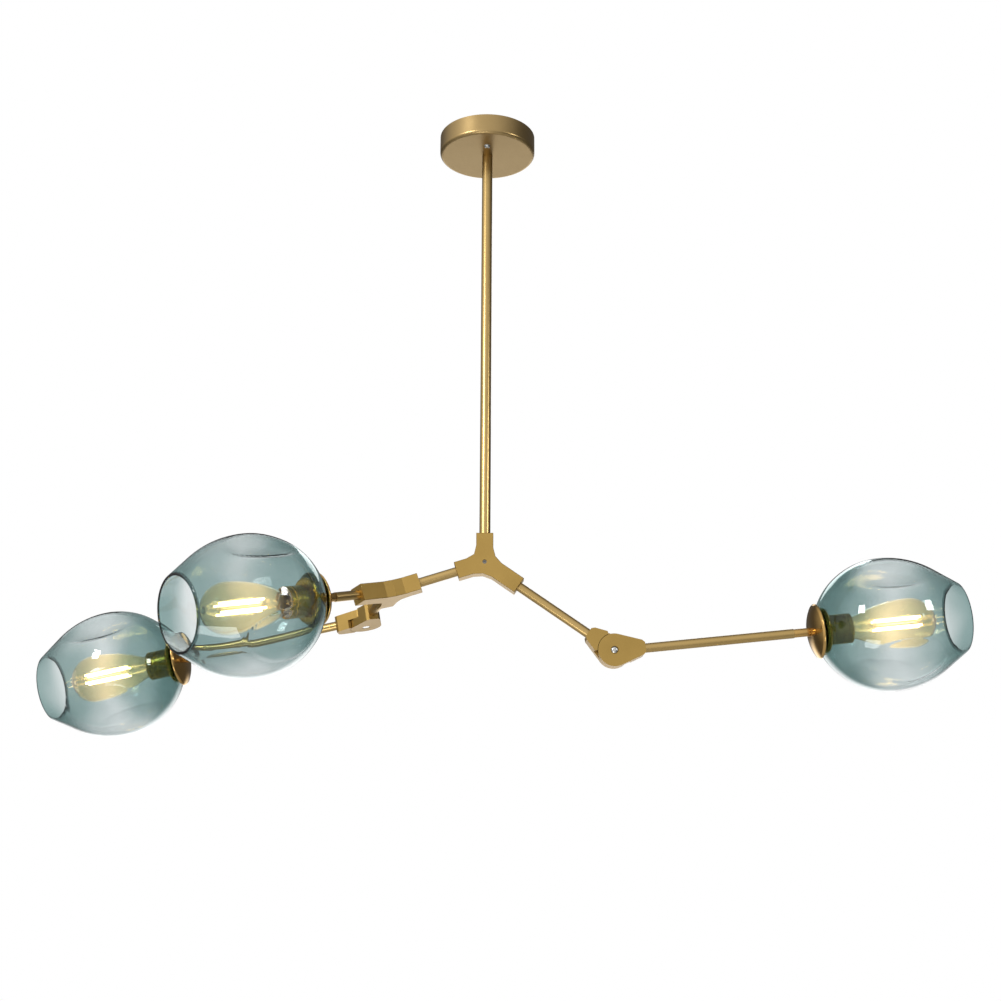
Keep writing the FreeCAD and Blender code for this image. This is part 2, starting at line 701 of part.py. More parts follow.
def build_bulb(side, placement):
    """Pear-shaped filament bulb, sealed at a small tip; z = 0 is the end of its contact."""
    cap_inside = "bulb_cap_radius - bulb_cap_wall"
    turned_piece(side + "_bulb_screw_cap", placement, [
        ("0", "0"), ("bulb_contact_radius", "0"), ("bulb_cap_radius", "bulb_contact_height"),
        ("bulb_cap_radius", "bulb_cap_height"), (cap_inside, "bulb_cap_height"),
        (cap_inside, "bulb_contact_height + bulb_cap_wall"),
        ("0", "bulb_contact_height + bulb_cap_wall"),
    ])
    root = "bulb_cap_radius - bulb_cap_wall - running_clearance"
    root_foot, root_top = "bulb_cap_height / 2", "bulb_cap_height + bulb_cap_wall"
    neck_drop = "sqrt(%s^2 - (%s - %s + %s)^2)"
    outer_neck = "bulb_belly_height - " + neck_drop % (
        "bulb_side_radius", "bulb_side_radius", "bulb_radius", "bulb_neck_radius")
    tip_foot = "bulb_belly_height + sqrt(bulb_radius^2 - bulb_tip_radius^2)"
    inner = {name: "(%s - bulb_wall)" % name
             for name in ("bulb_side_radius", "bulb_radius", "bulb_neck_radius")}
    inner_neck = "bulb_belly_height - " + neck_drop % (
        inner["bulb_side_radius"], inner["bulb_side_radius"],
        inner["bulb_radius"], inner["bulb_neck_radius"])
    turned_piece(side + "_bulb_glass", placement, [
        (root, root_foot), (root, root_top), ("bulb_neck_radius", outer_neck),
        ("bulb_radius", "bulb_belly_height", "bulb_side_radius", 1),
        ("bulb_tip_radius", tip_foot, "bulb_radius", 1),
        ("0", tip_foot + " + bulb_tip_radius", "bulb_tip_radius", 1),
        ("0", "bulb_belly_height + bulb_radius - bulb_wall"),
        (inner["bulb_radius"], "bulb_belly_height", inner["bulb_radius"], -1),
        (inner["bulb_neck_radius"], inner_neck, inner["bulb_side_radius"], -1),
        (root + " - bulb_wall", root_top), (root + " - bulb_wall", root_foot),
    ])
    flare = root + " - bulb_wall - running_clearance"
    low = "bulb_cap_height * 2 + filament_radius"
    body = turned_piece(side + "_bulb_filaments", placement, [
        ("0", root_foot), (flare, root_foot), (flare, root_foot + " + filament_radius"),
        ("stalk_radius", "bulb_cap_height"), ("stalk_radius", low + " - stalk_radius"),
        ("mast_radius", low), ("mast_radius", low + " + filament_length + filament_radius"),
        ("0", low + " + filament_length + filament_radius"),
    ])
    bars = [("rod", "filament_radius", "filament_length", "filament_circle", Z, low),
            ("foot_hook", "hook_radius", "filament_circle", "0", X, low + " + stalk_radius"),
            ("head_hook", "hook_radius", "filament_circle", "0", X,
             low + " + filament_length - stalk_radius")]
    count = int(value_of("filament_count"))
    for turn in range(count):
        around = FreeCAD.Placement(FreeCAD.Vector(), FreeCAD.Rotation(Z, 360 * (turn + 0.5) / count))
        for name, radius, length, across, direction, height in bars:
            bar = body.newObject("PartDesign::AdditiveCylinder", "%s_filament_%s" % (side, name))
            bar.Placement = around.multiply(FreeCAD.Placement(
                FreeCAD.Vector(value_of(across), 0, value_of(height)),
                FreeCAD.Rotation(Z, direction)))
            bind(bar, "Radius", radius)
            bind(bar, "Height", length)


def build_lamp_head(side, hub_or_pivot, ahead, normal, reach):
    """Everything from the ferrule outward on one lamp axis."""
    cap_face = placed(hub_or_pivot + ahead * value_of(reach), ahead, normal)
    build_lamp_fittings(side, cap_face)
    build_shade(side, cap_face)
    build_bulb(side, moved(cap_face, value_of("socket_floor + insert_floor")))


# ---------------------------------------------------------------- arms

def direction(rise, turn):
    """A unit vector: degrees above the horizontal, and degrees from +X towards +Y."""
    rise, turn = math.radians(rise), math.radians(turn)
    return FreeCAD.Vector(math.cos(rise) * math.cos(turn),
                          math.cos(rise) * math.sin(turn), math.sin(rise))


FERRULE_START = "%s_lamp_reach - cap_height - ferrule_length"
FROM_SHORT_LEG = "hub_short_leg - socket_depth + end_gap"
FROM_LONG_LEG = "hub_long_leg - socket_depth + end_gap"
INTO_KNUCKLE = " - knuckle_reach + knuckle_grip - end_gap"
FROM_KNUCKLE = "knuckle_reach - knuckle_grip + end_gap"


def build_right_arm(hub_centre):
    inward = direction(-value_of("right_arm_dip"), 0)
    outward = direction(value_of("right_outer_rise"), value_of("right_outer_turn"))
    pivot = hub_centre + inward * value_of("right_arm_span")
    axis = outward.cross(inward).normalize()
    build_tube("right_inner_tube", placed(hub_centre, inward, axis),
               FROM_LONG_LEG, "right_arm_span" + INTO_KNUCKLE)
    build_knuckle("right", pivot, -inward, outward, axis)
    build_tube("right_outer_tube", placed(pivot, outward, axis),
               FROM_KNUCKLE, FERRULE_START % "right")
    build_lamp_head("right", pivot, outward, axis, "right_lamp_reach")


def build_left_arm(hub_centre):
    outward = direction(-value_of("left_arm_dip"), 180)
    rearward = FreeCAD.Rotation(outward, value_of("side_hub_roll")).multVec(Y)
    side_centre = hub_centre + outward * value_of("left_arm_span")
    inward = -outward
    plane_normal = rearward.cross(inward)
    build_tube("left_inner_tube", placed(hub_centre, outward, plane_normal),
               FROM_SHORT_LEG, "left_arm_span - hub_short_leg + socket_depth - end_gap")
    build_hub("side_hub", placed(side_centre, rearward, plane_normal), [
        ("0", "hub_short_leg", "tube_radius + running_clearance"),
        ("rear_leg_angle", "hub_short_leg", "tube_radius + running_clearance"),
        ("360 - front_leg_angle", "hub_long_leg", "tube_radius + running_clearance"),
    ])

    def leg_direction(angle):
        turn = math.radians(angle)
        return inward * math.cos(turn) + rearward * math.sin(turn)

    front = leg_direction(-value_of("front_leg_angle"))
    build_tube("front_tube", placed(side_centre, front, plane_normal),
               FROM_LONG_LEG, FERRULE_START % "front")
    build_lamp_head("front", side_centre, front, plane_normal, "front_lamp_reach")

    rear = leg_direction(value_of("rear_leg_angle"))
    outer = direction(value_of("rear_outer_rise"), 180 - value_of("rear_outer_turn"))
    pivot = side_centre + rear * value_of("rear_arm_span")
    axis = outer.cross(rear).normalize()
    build_tube("rear_inner_tube", placed(side_centre, rear, plane_normal),
               FROM_SHORT_LEG, "rear_arm_span" + INTO_KNUCKLE)
    build_knuckle("rear", pivot, -rear, outer, axis)
    build_tube("rear_outer_tube", placed(pivot, outer, axis), FROM_KNUCKLE, FERRULE_START % "rear")
    build_lamp_head("rear", pivot, outer, axis, "rear_lamp_reach")


def build_chandelier():
    build_canopy()
    build_ceiling_bracket()
    build_canopy_screws()
    build_stem_hardware()
    build_stem()
    hub_centre = Z * -value_of("canopy_height + stem_drop")
    build_hub("main_hub", FreeCAD.Placement(hub_centre, FreeCAD.Rotation()), [
        ("90", "hub_short_leg", "stem_radius + running_clearance"),
        ("180 + left_arm_dip", "hub_short_leg", "tube_radius + running_clearance"),
        ("360 - right_arm_dip", "hub_long_leg", "tube_radius + running_clearance"),
    ])
    build_right_arm(hub_centre)
    build_left_arm(hub_centre)


def write_pieces():
    document.recompute()
    for item in document.Objects:
        if "Invalid" in item.State or "Error" in item.State:
            raise RuntimeError("%s failed: %s" % (item.Label, item.State))
    os.makedirs("parts", exist_ok=True)
    for label, piece in finished_pieces.items():
        shape = piece.Shape
        if shape.isNull() or not shape.isValid() or not shape.Solids:
            raise RuntimeError("%s has no valid solid" % label)
        shape.exportStep("parts/%s.step" % label)
        print("%-24s %d solid(s) %10.1f mm3" % (label, len(shape.Solids), shape.Volume))


build_chandelier()
write_pieces()
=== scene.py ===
import json
import math

import bmesh
import bpy
from mathutils import Matrix, Vector


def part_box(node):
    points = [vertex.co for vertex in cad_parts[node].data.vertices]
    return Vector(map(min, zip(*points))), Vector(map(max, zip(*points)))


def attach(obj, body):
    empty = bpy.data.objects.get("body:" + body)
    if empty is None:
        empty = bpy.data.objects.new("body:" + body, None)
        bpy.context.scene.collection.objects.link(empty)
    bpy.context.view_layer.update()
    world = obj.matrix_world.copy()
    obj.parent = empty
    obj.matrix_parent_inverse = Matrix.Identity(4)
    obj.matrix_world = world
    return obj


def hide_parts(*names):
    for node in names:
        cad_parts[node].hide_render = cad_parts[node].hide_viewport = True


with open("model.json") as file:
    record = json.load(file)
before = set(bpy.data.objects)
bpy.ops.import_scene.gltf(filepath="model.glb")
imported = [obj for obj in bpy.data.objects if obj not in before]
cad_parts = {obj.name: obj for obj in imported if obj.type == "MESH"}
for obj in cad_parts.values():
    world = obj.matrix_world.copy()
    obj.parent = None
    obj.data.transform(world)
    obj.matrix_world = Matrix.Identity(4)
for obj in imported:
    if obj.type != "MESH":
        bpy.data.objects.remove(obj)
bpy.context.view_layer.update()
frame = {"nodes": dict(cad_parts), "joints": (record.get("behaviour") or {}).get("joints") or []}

# ---------------------------------------------------------------- camera
# The light hangs in front of a white wall and is seen from just below its arms.
# Metres throughout; the ceiling is z = 0 and the stem hangs down from the origin.
camera_place = Vector((0.01834, -1.50036, -0.85457))
camera_tilt_up = math.radians(14.13)
camera_roll = math.radians(0.21)
camera_lens = 46.75
camera_data = bpy.data.cameras.new("camera")
camera_data.lens = camera_lens
camera_data.sensor_width = 36.0
camera = bpy.data.objects.new("camera", camera_data)
bpy.context.scene.collection.objects.link(camera)
camera.matrix_world = (
    Matrix.Translation(camera_place)
    @ Matrix.Rotation(math.pi / 2 + camera_tilt_up, 4, "X")
    @ Matrix.Rotation(camera_roll, 4, "Z")
)
bpy.context.scene.camera = camera

# ---------------------------------------------------------------- canopy
# A spun steel cup that hides the ceiling box, sprayed a flat champagne gold.
# Two small chromed screws in its face hold it up against the crossbar.
MM = 0.001


def wire(tree, source, output, target, socket):
    tree.links.new(source.outputs[output], target.inputs[socket])


def effect_group(name, inputs, outputs):
    """A shader group: sockets of (name, kind, default) going in, (name, kind) coming out."""
    tree = bpy.data.node_groups.new(name, "ShaderNodeTree")
    for label, kind, value in inputs:
        socket = tree.interface.new_socket(label, in_out="INPUT", socket_type=kind)
        socket.default_value = value
    for label, kind in outputs:
        tree.interface.new_socket(label, in_out="OUTPUT", socket_type=kind)
    return tree, tree.nodes.new("NodeGroupInput"), tree.nodes.new("NodeGroupOutput")


def math_node(tree, operation, *values):
    node = tree.nodes.new("ShaderNodeMath")
    node.operation = operation
    for place, value in enumerate(values):
        if isinstance(value, tuple):
            tree.links.new(value[0].outputs[value[1]], node.inputs[place])
        else:
            node.inputs[place].default_value = value
    return node


COLOUR, NUMBER = "NodeSocketColor", "NodeSocketFloat"

# Sprayed or plated metal: slow drifts of tone and polish, and a fine pebbled skin.
sprayed, entry, leave = effect_group(
    "sprayed_skin",
    [("Deep", COLOUR, (0, 0, 0, 1)), ("Light", COLOUR, (1, 1, 1, 1)),
     ("Roughness", NUMBER, 0.4), ("Spread", NUMBER, 0.1),
     ("Drift Scale", NUMBER, 25.0), ("Pebble Scale", NUMBER, 1800.0)],
    [("Colour", COLOUR), ("Roughness", NUMBER), ("Height", NUMBER)],
)
where = sprayed.nodes.new("ShaderNodeTexCoord")
drift = sprayed.nodes.new("ShaderNodeTexNoise")
drift.inputs["Detail"].default_value = 4.0
wire(sprayed, where, "Object", drift, "Vector")
wire(sprayed, entry, "Drift Scale", drift, "Scale")
pebble = sprayed.nodes.new("ShaderNodeTexNoise")
pebble.inputs["Detail"].default_value = 2.0
wire(sprayed, where, "Object", pebble, "Vector")
wire(sprayed, entry, "Pebble Scale", pebble, "Scale")
tone = sprayed.nodes.new("ShaderNodeMix")
tone.data_type = "RGBA"
tone.inputs["Factor"].default_value = 0.5
wire(sprayed, drift, "Fac", tone, "Factor")
sprayed.links.new(entry.outputs["Deep"], tone.inputs[6])
sprayed.links.new(entry.outputs["Light"], tone.inputs[7])
sprayed.links.new(tone.outputs[2], leave.inputs["Colour"])
centred = math_node(sprayed, "SUBTRACT", (drift, "Fac"), 0.5)
swing = math_node(sprayed, "MULTIPLY", (centred, "Value"), (entry, "Spread"))
polish = math_node(sprayed, "ADD", (swing, "Value"), (entry, "Roughness"))
wire(sprayed, polish, "Value", leave, "Roughness")
wire(sprayed, pebble, "Fac", leave, "Height")


def new_material(name, **sockets):
    """A material with one Principled shader, whose plain sockets are set by name."""
    material = bpy.data.materials.new(name)
    material.use_nodes = True
    shader = material.node_tree.nodes["Principled BSDF"]
    for label, value in sockets.items():
        shader.inputs[label.replace("_", " ")].default_value = value
    return material, material.node_tree, shader


def add_bump(tree, shader, source, output, depth):
    bump = tree.nodes.new("ShaderNodeBump")
    bump.inputs["Strength"].default_value = 1.0
    bump.inputs["Distance"].default_value = depth
    wire(tree, source, output, bump, "Height")
    wire(tree, bump, "Normal", shader, "Normal")


def sprayed_metal(name, deep, light, roughness, spread, pebble_depth,
                  drift_scale=25.0, pebble_scale=1800.0, **sockets):
    material, tree, shader = new_material(name, **sockets)
    skin = tree.nodes.new("ShaderNodeGroup")
    skin.node_tree = sprayed
    skin.inputs["Deep"].default_value = (*deep, 1)
    skin.inputs["Light"].default_value = (*light, 1)
    skin.inputs["Roughness"].default_value = roughness
    skin.inputs["Spread"].default_value = spread
    skin.inputs["Drift Scale"].default_value = drift_scale
    skin.inputs["Pebble Scale"].default_value = pebble_scale
    wire(tree, skin, "Colour", shader, "Base Color")
    wire(tree, skin, "Roughness", shader, "Roughness")
    if pebble_depth:
        add_bump(tree, shader, skin, "Height", pebble_depth)
    return material


def dress(material, *names):
    for name in names:
        for place in frame["nodes"][name].material_slots:
            place.material = material


champagne_spray = sprayed_metal(
    "champagne_spray", (0.34, 0.232, 0.096), (0.43, 0.305, 0.140),
    0.34, 0.10, 0.00002, pebble_scale=2600.0, Metallic=1.0)
chromed_screw = sprayed_metal(
    "chromed_screw", (0.36, 0.36, 0.34), (0.62, 0.62, 0.60),
    0.20, 0.12, 0.00001, drift_scale=300.0, Metallic=1.0)
dress(champagne_spray, "canopy")
dress(chromed_screw, "canopy_screws")

# ---------------------------------------------------------------- ceiling fixing
# A pressed and zinc-plated crossbar, a threaded steel nipple with its nut, and a moulded
# terminal block: none of it shows from the room, but it carries and feeds the light.
zinc_plate = sprayed_metal(
    "zinc_plate", (0.50, 0.51, 0.52), (0.72, 0.73, 0.74),
    0.36, 0.20, 0.00003, drift_scale=120.0, Metallic=1.0)
block_plastic = sprayed_metal(
    "block_plastic", (0.74, 0.73, 0.70), (0.82, 0.81, 0.78),
    0.45, 0.08, 0.00002, Metallic=0.0)
dress(zinc_plate, "ceiling_bracket", "stem_nipple", "stem_locknut")
dress(block_plastic, "terminal_block")

# ---------------------------------------------------------------- stem, hubs and arm tubes
# Drawn steel tubes and zinc-cast three-way joints, all in one matt antique-gold lacquer.
# The tubes turn in the sockets of the joints; a dark set screw locks each joint.
matt_gold = sprayed_metal(
    "matt_gold", (0.33, 0.210, 0.058), (0.43, 0.282, 0.086),
    0.42, 0.12, 0.00002, pebble_scale=2600.0, Metallic=1.0)
tube_gold = sprayed_metal(
    "tube_gold", (0.42, 0.285, 0.105), (0.51, 0.355, 0.145),
    0.30, 0.03, 0.0, drift_scale=7.0, Metallic=1.0)
dark_screw = sprayed_metal(
    "dark_screw", (0.10, 0.09, 0.08), (0.30, 0.29, 0.27),
    0.26, 0.16, 0.00001, drift_scale=500.0, Metallic=1.0)
dress(matt_gold, "main_hub", "side_hub")
dress(tube_gold, "stem", "right_inner_tube", "right_outer_tube", "left_inner_tube",
      "front_tube", "rear_inner_tube", "rear_outer_tube")
dress(dark_screw, "main_hub_screw", "side_hub_screw")

# ---------------------------------------------------------------- knuckles
# Each knuckle is two zinc-cast halves lapped on a steel pivot screw, with a nut behind.
# Friction between the two flat faces holds the arm where it is set.
dress(matt_gold, "right_knuckle_base", "right_knuckle_arm",
      "rear_knuckle_base", "rear_knuckle_arm")
dress(chromed_screw, "right_pivot_screw", "right_pivot_nut",
      "rear_pivot_screw", "rear_pivot_nut")

# ---------------------------------------------------------------- lamp heads: where they are
# Three like heads: each sits square on the end of its tube, so its own frame has z = 0 on
# the flat face of the cap, z out through the mouth of the glass, and y across the arm.
joint_axis = {joint["name"]: Vector(joint["axis"]).normalized() for joint in frame["joints"]}
side_hub_normal = joint_axis["rear_arm_swivel"].cross(-joint_axis["left_arm_swivel"])
heads = {
    "right": ("right_lamp_arm", joint_axis["right_knuckle_hinge"]),
    "front": ("left_arm", side_hub_normal),
    "rear": ("rear_lamp_arm", joint_axis["rear_knuckle_hinge"]),
}
gasket_thickness = 1.0 * MM


def middle(node):
    low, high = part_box(node)
    return (low + high) / 2


def head_frame(side, across):
    """The frame of one lamp head, from two of its turned pieces that share its axis."""
    outward = (middle(side + "_shade_gasket") - middle(side + "_ferrule")).normalized()
    face = middle(side + "_shade_gasket") - outward * gasket_thickness / 2
    across = (across - outward * across.dot(outward)).normalized()
    sideways = across.cross(outward)
    turn = Matrix((sideways, across, outward)).transposed().to_4x4()
    return Matrix.Translation(face) @ turn


head_frames = {side: head_frame(side, head[1]) for side, head in heads.items()}


def place_on_head(name, mesh, side, material, slot, *nodes):
    """Puts a finished mesh on one lamp head in place of its plain solid."""
    piece = bpy.data.objects.new("%s_%s" % (side, name), mesh)
    bpy.context.scene.collection.objects.link(piece)
    mesh.materials.clear()
    mesh.materials.append(material)
    piece.matrix_world = head_frames[side]
    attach(piece, heads[side][0])
    if nodes:
        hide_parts(*[side + "_" + node for node in nodes])
    return piece


def finish_mesh(name, shape, sharp_angle=35.0):
    """Closes off a bmesh: faces outward, smooth, and sharp where the shape turns hard."""
    bmesh.ops.remove_doubles(shape, verts=shape.verts, dist=0.00001)
    bmesh.ops.recalc_face_normals(shape, faces=shape.faces)
    mesh = bpy.data.meshes.new(name)
    shape.to_mesh(mesh)
    shape.free()
    for face in mesh.polygons:
        face.use_smooth = True
    mesh.set_sharp_from_angle(angle=math.radians(sharp_angle))
    return mesh


def turned(name, outline, steps=96, sharp_angle=35.0):
    """A turned piece from an outline of (radius, height) in millimetres round the z axis."""
    shape = bmesh.new()
    rings = []
    for radius, height in outline:
        if radius < 1e-6:
            rings.append([shape.verts.new((0, 0, height * MM))] * steps)
            continue
        rings.append([
            shape.verts.new((radius * MM * math.cos(2 * math.pi * step / steps),
                             radius * MM * math.sin(2 * math.pi * step / steps),
                             height * MM))
            for step in range(steps)
        ])
    closed = outline[0][0] > 1e-6 and outline[-1][0] > 1e-6
    pairs = list(zip(rings, rings[1:])) + ([(rings[-1], rings[0])] if closed else [])
    for lower, upper in pairs:
        for step in range(steps):
            after = (step + 1) % steps
            corners = [lower[step], lower[after], upper[after], upper[step]]
            corners = list(dict.fromkeys(corners))
            if len(corners) > 2:
                shape.faces.new(corners)
    return finish_mesh(name, shape, sharp_angle)


def arc(centre, radius, start, end, count):
    """Points (radius, height) on an arc round centre, angles in degrees from the r axis."""
    points = []
    for step in range(count + 1):
        angle = math.radians(start + (end - start) * step / count)
        points.append((centre[0] + radius * math.cos(angle), centre[1] + radius * math.sin(angle)))
    return points


# ---------------------------------------------------------------- ferrules and caps
# A short turned brass ferrule on the tube's end and the shallow spun cap behind the glass,
# both polished and lacquered a warm gold that picks up bright rims of light.
turning, entry, leave = effect_group(
    "turning_lines",
    [("Deep", COLOUR, (0, 0, 0, 1)), ("Light", COLOUR, (1, 1, 1, 1)),
     ("Roughness", NUMBER, 0.2), ("Spread", NUMBER, 0.1), ("Line Scale", NUMBER, 3000.0)],
    [("Colour", COLOUR), ("Roughness", NUMBER), ("Height", NUMBER)],
)
where = turning.nodes.new("ShaderNodeTexCoord")
apart = turning.nodes.new("ShaderNodeSeparateXYZ")
wire(turning, where, "Object", apart, "Vector")
x_square = math_node(turning, "MULTIPLY", (apart, "X"), (apart, "X"))
y_square = math_node(turning, "MULTIPLY", (apart, "Y"), (apart, "Y"))
both = math_node(turning, "ADD", (x_square, "Value"), (y_square, "Value"))
from_axis = math_node(turning, "SQRT", (both, "Value"))
along_profile = math_node(turning, "ADD", (from_axis, "Value"), (apart, "Z"))
lines = turning.nodes.new("ShaderNodeTexNoise")
lines.noise_dimensions = "1D"
lines.inputs["Detail"].default_value = 3.0
wire(turning, along_profile, "Value", lines, "W")
wire(turning, entry, "Line Scale", lines, "Scale")
drift = turning.nodes.new("ShaderNodeTexNoise")
drift.inputs["Scale"].default_value = 60.0
drift.inputs["Detail"].default_value = 4.0
wire(turning, where, "Object", drift, "Vector")
tone = turning.nodes.new("ShaderNodeMix")
tone.data_type = "RGBA"
wire(turning, drift, "Fac", tone, "Factor")
turning.links.new(entry.outputs["Deep"], tone.inputs[6])
turning.links.new(entry.outputs["Light"], tone.inputs[7])
turning.links.new(tone.outputs[2], leave.inputs["Colour"])
blend = math_node(turning, "MULTIPLY", (lines, "Fac"), (drift, "Fac"))
swing = math_node(turning, "MULTIPLY", (blend, "Value"), (entry, "Spread"))
polish = math_node(turning, "ADD", (swing, "Value"), (entry, "Roughness"))
wire(turning, polish, "Value", leave, "Roughness")
wire(turning, lines, "Fac", leave, "Height")


def turned_metal(name, deep, light, roughness, spread, line_depth, line_scale=3000.0, **sockets):
    material, tree, shader = new_material(name, **sockets)
    skin = tree.nodes.new("ShaderNodeGroup")
    skin.node_tree = turning
    skin.inputs["Deep"].default_value = (*deep, 1)
    skin.inputs["Light"].default_value = (*light, 1)
    skin.inputs["Roughness"].default_value = roughness
    skin.inputs["Spread"].default_value = spread
    skin.inputs["Line Scale"].default_value = line_scale
    wire(tree, skin, "Colour", shader, "Base Color")
    wire(tree, skin, "Roughness", shader, "Roughness")
    add_bump(tree, shader, skin, "Height", line_depth)
    return material


polished_gold = turned_metal(
    "polished_gold", (0.44, 0.265, 0.085), (0.58, 0.37, 0.13),
    0.13, 0.10, 0.00001, Metallic=1.0)

cap_radius, cap_height, cap_edge, cap_dome = 32.0, 10.5, 2.6, 48.0
ferrule_radius, ferrule_length, cap_bore = 5.0, 19.0, 4.05
ferrule_break = 0.5
ferrule_outline = [
    (cap_bore, -cap_height - ferrule_length),
    (ferrule_radius - ferrule_break, -cap_height - ferrule_length),
    *arc((ferrule_radius - ferrule_break, -cap_height - ferrule_length + ferrule_break),
         ferrule_break, -90, 0, 5),
    *arc((ferrule_radius - ferrule_break, -cap_height - ferrule_break), ferrule_break, 0, 90, 5),
    (cap_bore, -cap_height),
]


def cap_outline():
    """Flat face, rolled rim, and a shallow dome that rises to the ferrule."""
    rise = cap_height - cap_edge
    run = cap_radius - ferrule_radius
    chord = math.hypot(rise, run)
    sag_angle = math.asin(chord / 2 / cap_dome)
    lean = math.atan2(rise, run)
    start = 90 - math.degrees(lean + sag_angle)
    end = 90 - math.degrees(lean - sag_angle)
    centre = (cap_radius - cap_dome * math.cos(math.radians(start)),
              -cap_edge + cap_dome * math.sin(math.radians(start)))
    dome = [(centre[0] + cap_dome * math.cos(math.radians(angle)),
             centre[1] - cap_dome * math.sin(math.radians(angle)))
            for angle in [start + (end - start) * step / 24 for step in range(25)]]
    bead = cap_edge / 2
    rim = [(cap_radius - bead + bead * math.cos(math.radians(angle)),
            -bead - bead * math.sin(math.radians(angle)))
           for angle in range(-90, 61, 15)]
    inside = [point for point in dome if point[0] < cap_radius - bead * 0.6]
    return [(cap_bore, 0.0), *rim, *inside, (ferrule_radius, -cap_height), (cap_bore, -cap_height)]


for side in heads:
    place_on_head("turned_ferrule", turned(side + "_turned_ferrule", ferrule_outline), side,
                  polished_gold, "polished_gold", "ferrule")
    place_on_head("spun_cap", turned(side + "_spun_cap", cap_outline(), 128, 50.0), side,
                  polished_gold, "polished_gold", "cap")
    dress(zinc_plate, side + "_lamp_nipple")

# ---------------------------------------------------------------- blown glass bowls
# Each bowl is blown in smoky blue-grey glass, with four long flats pressed in while it is
# soft, a ground hole that seats on the cap, and a fire-polished lip at its cut-off mouth.
bowl_radius, bowl_back, bowl_front, bowl_taper = 78.0, 86.0, 106.0, 33.0
bowl_mouth, bowl_seat, bowl_hole, bowl_wall = 41.5, 24.0, 20.5, 2.5
flat_depth, flat_bar, flat_blend = 10.0, 110.0, 0.7
belly_height = math.sqrt(bowl_back ** 2 - (bowl_back - bowl_radius + bowl_seat) ** 2)
taper = math.radians(bowl_taper)
mouth_height = (belly_height + bowl_front * math.sin(taper)
                + (bowl_radius - bowl_front * (1 - math.cos(taper)) - bowl_mouth) / math.tan(taper))


def bowl_profile(height, inset):
    """Radius of the turned bowl at a height, inset by the wall where it is the hollow."""
    back, front = bowl_back - inset, bowl_front - inset
    if height < belly_height:
        return bowl_radius - bowl_back + math.sqrt(max(back ** 2 - (belly_height - height) ** 2, 0))
    shoulder = belly_height + front * math.sin(taper)
    if height < shoulder:
        return bowl_radius - bowl_front + math.sqrt(front ** 2 - (height - belly_height) ** 2)
    at_shoulder = bowl_radius - bowl_front + front * math.cos(taper)
    return at_shoulder - (height - shoulder) * math.tan(taper)


def pressed(radius, angle, inset):
    """The radius where a bar beside the axis has pressed a flat, eased into the round."""
    bar = flat_bar + inset
    distance = bowl_radius - flat_depth + flat_bar
    nearest = angle % (math.pi / 2) - math.pi / 4
    across = distance * math.sin(nearest)
    if abs(across) >= bar:
        return radius
    face = distance * math.cos(nearest) - math.sqrt(bar ** 2 - across ** 2)
    overlap = max(flat_blend - abs(radius - face), 0) / flat_blend
    return min(radius, face) - overlap ** 2 * flat_blend / 4


def bowl_mesh(name):
    around = 240
    lip = bowl_wall / 2
    stations = 72
    rounding = lip * 0.6
    heights_out = [(mouth_height - rounding) * (1 - math.cos(math.pi * i / stations)) / 2
                   for i in range(stations + 1)]
    first_in = bowl_wall
    heights_in = [first_in + (mouth_height - rounding - first_in)
                  * (1 - math.cos(math.pi * i / stations)) / 2 for i in range(stations + 1)]
    shape = bmesh.new()

    def ring(points):
        return [shape.verts.new((r * math.cos(a) * MM, r * math.sin(a) * MM,
                                 (h + gasket_thickness / MM) * MM)) for r, a, h in points]

    angles = [2 * math.pi * step / around for step in range(around)]
    rings = [ring([(bowl_hole, a, bowl_wall) for a in angles]),
             ring([(bowl_hole, a, 0.0) for a in angles])]
    for height in heights_out:
        rings.append(ring([(pressed(bowl_profile(height, 0), a, 0), a, height) for a in angles]))
    tip = mouth_height
    rings.append(ring([(bowl_profile(tip, 0) - lip * 0.62, a, tip - lip * 0.12) for a in angles]))
    rings.append(ring([(bowl_profile(tip, bowl_wall / 2), a, tip) for a in angles]))
    rings.append(ring([(bowl_profile(tip, bowl_wall) + lip * 0.42, a, tip - lip * 0.14)
                       for a in angles]))
    for height in reversed(heights_in):
        rings.append(ring([(pressed(bowl_profile(height, bowl_wall), a, bowl_wall), a, height)
                           for a in angles]))
    for lower, upper in zip(rings, rings[1:] + rings[:1]):
        for step in range(around):
            after = (step + 1) % around
            shape.faces.new([lower[step], lower[after], upper[after], upper[step]])
    return finish_mesh(name, shape, 60.0)


# Painted shade: the colour is darkened at the seat and towards the mouth, and darkest at the lip,
# where the glass looks darker at its edges.
edge_shading, entry, leave = effect_group(
    "painted_edge_shade",
    [("Clear", COLOUR, (1, 1, 1, 1)), ("Deep", COLOUR, (0.5, 0.6, 0.6, 1)),
     ("Lip", COLOUR, (0.1, 0.2, 0.2, 1)),
     ("Seat Start", NUMBER, 0.02), ("Seat End", NUMBER, 0.06),
     ("Mouth Start", NUMBER, 0.12), ("Mouth End", NUMBER, 0.16),
     ("Lip Start", NUMBER, 0.165), ("Lip End", NUMBER, 0.167)],
    [("Colour", COLOUR), ("Height", NUMBER)],
)
where = edge_shading.nodes.new("ShaderNodeTexCoord")
apart = edge_shading.nodes.new("ShaderNodeSeparateXYZ")
wire(edge_shading, where, "Object", apart, "Vector")
ripple = edge_shading.nodes.new("ShaderNodeTexNoise")
ripple.inputs["Scale"].default_value = 16.0
ripple.inputs["Detail"].default_value = 1.0
wire(edge_shading, where, "Object", ripple, "Vector")
sway = math_node(edge_shading, "MULTIPLY_ADD", (ripple, "Fac"), 0.05, (apart, "Z"))
level = math_node(edge_shading, "SUBTRACT", (sway, "Value"), 0.025)


